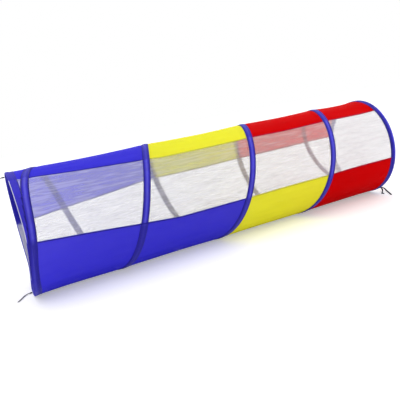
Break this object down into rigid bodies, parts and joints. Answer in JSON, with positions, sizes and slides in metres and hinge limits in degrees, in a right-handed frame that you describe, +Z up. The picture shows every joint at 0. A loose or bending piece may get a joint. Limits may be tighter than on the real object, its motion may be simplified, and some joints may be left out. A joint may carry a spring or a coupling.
{
  "type": "play tunnel",
  "caption": "Pop-up crawl tunnel of coloured cloth and netting panels on a sprung wire coil, open at both ends, that pushes flat into a disc.",
  "frame": {"origin": "on the floor, below the middle of the tunnel's box, which is measured without the ties", "axes": "+X along the tunnel from its left end to its right, +Z up, -Y towards the near netting windows"},
  "size_m": [1.7854, 0.4738, 0.4747],
  "materials": {
    "spring_steel": "drawn wire",
    "ferrule_steel": "crimped, satin",
    "blue_tape": "woven binding tape, slight sheen",
    "blue_cloth": "plain woven polyester",
    "yellow_cloth": "plain woven polyester",
    "red_cloth": "plain woven polyester",
    "netting": "fine knitted netting, see-through",
    "tie_ribbon": "narrow grosgrain ribbon"
  },
  "bodies": {
    "left_end": {"left_end_hem": "blue_tape", "left_wire_ferrule": "ferrule_steel", "left_top_tie_tab": "tie_ribbon", "left_bottom_tie_tab": "tie_ribbon", "left_top_tie": "tie_ribbon", "left_bottom_tie": "tie_ribbon", "near_netting_start": "netting", "top_panel_start": "blue_cloth", "far_netting_start": "netting"},
    "turn_1": {"coil_sleeve_1": "blue_tape", "lower_panel_1": "blue_cloth", "near_netting_1": "netting", "top_panel_1": "blue_cloth", "far_netting_1": "netting"},
    "turn_2": {"coil_sleeve_2": "blue_tape", "lower_panel_2": "blue_cloth", "near_netting_2": "netting", "top_panel_2": "yellow_cloth", "far_netting_2": "netting"},
    "turn_3": {"coil_sleeve_3": "blue_tape", "spring_wire": "spring_steel", "lower_panel_3": "yellow_cloth", "near_netting_3": "netting", "top_panel_3": "red_cloth", "far_netting_3": "netting"},
    "turn_4": {"coil_sleeve_4": "blue_tape", "lower_panel_4": "red_cloth", "lower_panel_end": "red_cloth", "near_netting_4": "netting", "top_panel_4": "red_cloth", "far_netting_4": "netting"},
    "right_end": {"right_end_hem": "blue_tape", "right_wire_ferrule": "ferrule_steel", "right_bottom_tie_tab": "tie_ribbon", "right_bottom_long_tie": "tie_ribbon", "right_bottom_short_tie": "tie_ribbon"}
  },
  "joints": [
    {"name": "collapse", "type": "slide", "parent": "left_end", "child": "right_end", "axis": [1, 0, 0], "range_m": [-1.62, 0], "stiffness_N_per_m": 4, "springref_m": 0.15, "deforming": ["spring_wire", "left_end_hem", "near_netting_start", "top_panel_start", "far_netting_start", "coil_sleeve_1", "lower_panel_1", "near_netting_1", "top_panel_1", "far_netting_1", "coil_sleeve_2", "lower_panel_2", "near_netting_2", "top_panel_2", "far_netting_2", "coil_sleeve_3", "lower_panel_3", "near_netting_3", "top_panel_3", "far_netting_3", "coil_sleeve_4", "lower_panel_4", "lower_panel_end", "near_netting_4", "top_panel_4", "far_netting_4", "right_end_hem"]},
    {"name": "turn_1_slide", "type": "slide", "parent": "left_end", "child": "turn_1", "axis": [1, 0, 0], "range_m": [-0.081, 0]},
    {"name": "turn_2_slide", "type": "slide", "parent": "left_end", "child": "turn_2", "axis": [1, 0, 0], "range_m": [-0.517, 0]},
    {"name": "turn_3_slide", "type": "slide", "parent": "left_end", "child": "turn_3", "axis": [1, 0, 0], "range_m": [-0.962, 0]},
    {"name": "turn_4_slide", "type": "slide", "parent": "left_end", "child": "turn_4", "axis": [1, 0, 0], "range_m": [-1.348, 0]}
  ],
  "couplings": [
    {"joint": "turn_1_slide", "follows": "collapse", "ratio": 0.0499},
    {"joint": "turn_2_slide", "follows": "collapse", "ratio": 0.3188},
    {"joint": "turn_3_slide", "follows": "collapse", "ratio": 0.5936},
    {"joint": "turn_4_slide", "follows": "collapse", "ratio": 0.8316}
  ]
}
